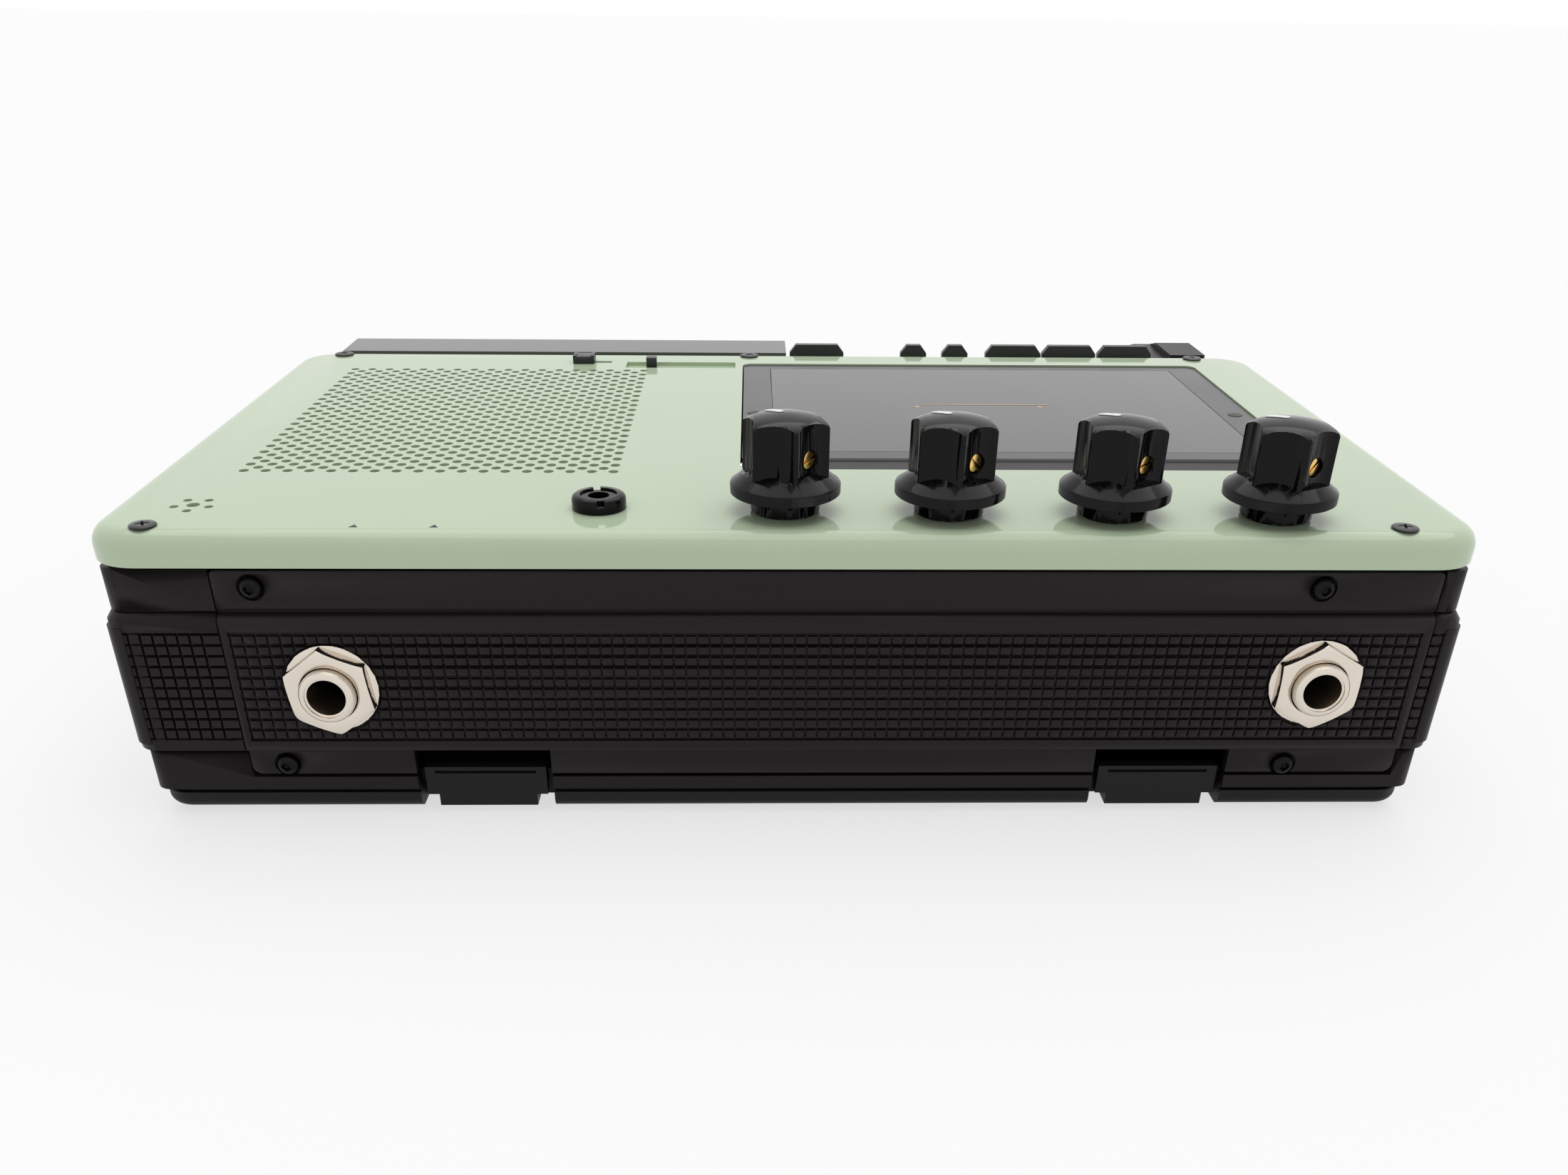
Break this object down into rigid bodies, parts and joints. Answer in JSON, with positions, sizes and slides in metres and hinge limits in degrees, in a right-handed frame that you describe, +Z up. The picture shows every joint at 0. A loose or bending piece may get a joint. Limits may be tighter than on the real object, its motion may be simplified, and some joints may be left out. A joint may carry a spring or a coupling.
{
  "type": "tape echo unit",
  "caption": "Portable cassette tape echo with a green top panel, fluted knobs, speaker grille, smoked cassette door, piano keys and quarter inch jacks.",
  "frame": {"origin": "on the table under the middle of the unit's box", "axes": "+X along the long side with the jack side nearest, +Y from the jack side to the key side, +Z up"},
  "size_m": [0.231, 0.1678, 0.0695],
  "materials": {
    "green_paint": "sage green semi-matte paint",
    "case_plastic": "black moulded plastic",
    "cover_plastic": "fine grained black plastic",
    "key_plastic": "black plastic keys",
    "black_gloss": "glossy black phenolic",
    "smoked_glass": "smoked acrylic window",
    "jack_metal": "nickel plated",
    "screw_steel": "dark blackened steel",
    "dark_steel": "dark steel",
    "brass": "bright brass",
    "belt_rubber": "black rubber",
    "cell_wrap": "plain printed cell wrap",
    "board": "green circuit board"
  },
  "bodies": {
    "deck": {"top_panel": "green_paint", "speaker_grille": "green_paint", "main_case": "case_plastic", "service_plate": "case_plastic", "case_screws": "screw_steel", "input_jack": "jack_metal", "output_jack": "jack_metal", "jack_washers": "jack_metal", "jack_nuts": "jack_metal", "speaker": "dark_steel", "microphone": "dark_steel", "potentiometers": "jack_metal", "cv_jack": "black_gloss", "cv_jack_nut": "black_gloss", "switch_bodies": "jack_metal", "door_hinge_pin": "jack_metal", "hinge_cover": "case_plastic", "cassette_well": "case_plastic", "motor": "jack_metal", "drive_belt": "belt_rubber", "bottom_cover": "cover_plastic", "rubber_feet": "belt_rubber", "batteries": "cell_wrap", "main_board": "board", "nameplate_strip": "case_plastic", "end_block": "case_plastic", "key_shaft": "jack_metal", "key_springs": "dark_steel"},
    "knob_unit_1": {"knob_1": "black_gloss", "set_screw_1": "brass", "pot_shaft_1": "jack_metal"},
    "knob_unit_2": {"knob_2": "black_gloss", "set_screw_2": "brass", "pot_shaft_2": "jack_metal"},
    "knob_unit_3": {"knob_3": "black_gloss", "set_screw_3": "brass", "pot_shaft_3": "jack_metal"},
    "knob_unit_4": {"knob_4": "black_gloss", "set_screw_4": "brass", "pot_shaft_4": "jack_metal"},
    "record_key_lever": {"record_key": "key_plastic"},
    "play_key_lever": {"play_key": "key_plastic"},
    "rewind_key_lever": {"rewind_key": "key_plastic"},
    "forward_key_lever": {"forward_key": "key_plastic"},
    "stop_key_lever": {"stop_key": "key_plastic"},
    "pause_key_lever": {"pause_key": "key_plastic"},
    "cassette_door": {"door_frame": "case_plastic", "door_window": "smoked_glass", "door_screws": "screw_steel"},
    "switch_cap_1": {"switch_slider_1": "black_gloss"},
    "switch_cap_2": {"switch_slider_2": "black_gloss"},
    "supply_reel": {"supply_spindle": "case_plastic"},
    "takeup_reel": {"takeup_spindle": "case_plastic"},
    "capstan": {"capstan_flywheel": "brass"},
    "motor_rotor": {"motor_pulley": "brass"},
    "pinch_arm_unit": {"pinch_arm": "jack_metal"},
    "pinch_roller_unit": {"pinch_roller": "belt_rubber"},
    "head_carriage": {"head_bridge": "jack_metal", "tape_heads": "jack_metal"},
    "battery_lid": {"battery_door": "cover_plastic"}
  },
  "joints": [
    {"name": "knob_1_turn", "type": "hinge", "parent": "deck", "child": "knob_unit_1", "pos_m": [-0.001, -0.0676, 0.06], "axis": [0, 0, 1], "range_deg": [-15, 285]},
    {"name": "knob_2_turn", "type": "hinge", "parent": "deck", "child": "knob_unit_2", "pos_m": [0.02665, -0.0684, 0.06], "axis": [0, 0, 1], "range_deg": [-15, 285]},
    {"name": "knob_3_turn", "type": "hinge", "parent": "deck", "child": "knob_unit_3", "pos_m": [0.0543, -0.0692, 0.06], "axis": [0, 0, 1], "range_deg": [-15, 285]},
    {"name": "knob_4_turn", "type": "hinge", "parent": "deck", "child": "knob_unit_4", "pos_m": [0.08195, -0.07, 0.06], "axis": [0, 0, 1], "range_deg": [-15, 285]},
    {"name": "record_key_press", "type": "hinge", "parent": "deck", "child": "record_key_lever", "pos_m": [0.05, 0.0547, 0.0498], "axis": [1, 0, 0], "range_deg": [-4, 0], "stiffness_Nm_per_rad": 0.5, "springref_deg": 1.15},
    {"name": "play_key_press", "type": "hinge", "parent": "deck", "child": "play_key_lever", "pos_m": [0.05, 0.0547, 0.0498], "axis": [1, 0, 0], "range_deg": [-4, 0], "stiffness_Nm_per_rad": 0.5, "springref_deg": 1.15},
    {"name": "rewind_key_press", "type": "hinge", "parent": "deck", "child": "rewind_key_lever", "pos_m": [0.05, 0.0547, 0.0498], "axis": [1, 0, 0], "range_deg": [-4, 0], "stiffness_Nm_per_rad": 0.5, "springref_deg": 1.15},
    {"name": "forward_key_press", "type": "hinge", "parent": "deck", "child": "forward_key_lever", "pos_m": [0.05, 0.0547, 0.0498], "axis": [1, 0, 0], "range_deg": [-4, 0], "stiffness_Nm_per_rad": 0.5, "springref_deg": 1.15},
    {"name": "stop_key_press", "type": "hinge", "parent": "deck", "child": "stop_key_lever", "pos_m": [0.05, 0.0547, 0.0498], "axis": [1, 0, 0], "range_deg": [-4, 0], "stiffness_Nm_per_rad": 0.5, "springref_deg": 1.15},
    {"name": "pause_key_press", "type": "hinge", "parent": "deck", "child": "pause_key_lever", "pos_m": [0.05, 0.0547, 0.0498], "axis": [1, 0, 0], "range_deg": [-4, 0], "stiffness_Nm_per_rad": 0.5, "springref_deg": 1.15},
    {"name": "door_open", "type": "hinge", "parent": "deck", "child": "cassette_door", "pos_m": [0.045, -0.0343, 0.0502], "axis": [1, 0, 0], "range_deg": [0, 50]},
    {"name": "switch_1_slide", "type": "slide", "parent": "deck", "child": "switch_cap_1", "axis": [1, 0, 0], "range_m": [0, 0.004]},
    {"name": "switch_2_slide", "type": "slide", "parent": "deck", "child": "switch_cap_2", "axis": [1, 0, 0], "range_m": [0, 0.015]},
    {"name": "supply_turn", "type": "hinge", "parent": "deck", "child": "supply_reel", "pos_m": [0.02395, 0.0002, 0.04], "axis": [0, 0, 1], "continuous": true},
    {"name": "takeup_turn", "type": "hinge", "parent": "deck", "child": "takeup_reel", "pos_m": [0.06645, 0.0002, 0.04], "axis": [0, 0, 1], "continuous": true},
    {"name": "capstan_turn", "type": "hinge", "parent": "deck", "child": "capstan", "pos_m": [0.0705, 0.0232, 0.03], "axis": [0, 0, 1], "continuous": true},
    {"name": "motor_turn", "type": "hinge", "parent": "deck", "child": "motor_rotor", "pos_m": [0.02, 0.0067, 0.025], "axis": [0, 0, 1], "continuous": true},
    {"name": "pinch_arm_swing", "type": "hinge", "parent": "deck", "child": "pinch_arm_unit", "pos_m": [0.086, 0.0341, 0.037], "axis": [0, 0, 1], "range_deg": [0, 15]},
    {"name": "pinch_roller_turn", "type": "hinge", "parent": "pinch_arm_unit", "child": "pinch_roller_unit", "pos_m": [0.0705, 0.0341, 0.04], "axis": [0, 0, 1], "continuous": true},
    {"name": "head_bridge_slide", "type": "slide", "parent": "deck", "child": "head_carriage", "axis": [0, -1, 0], "range_m": [0, 0.004]},
    {"name": "battery_door_slide", "type": "slide", "parent": "deck", "child": "battery_lid", "axis": [-1, 0, 0], "range_m": [0, 0.04]}
  ],
  "couplings": [
    {"joint": "motor_turn", "follows": "capstan_turn", "ratio": 4.2},
    {"joint": "play_key_press", "follows": "head_bridge_slide", "rad_per_m": -17.45},
    {"joint": "pinch_arm_swing", "follows": "head_bridge_slide", "rad_per_m": 64.5}
  ]
}
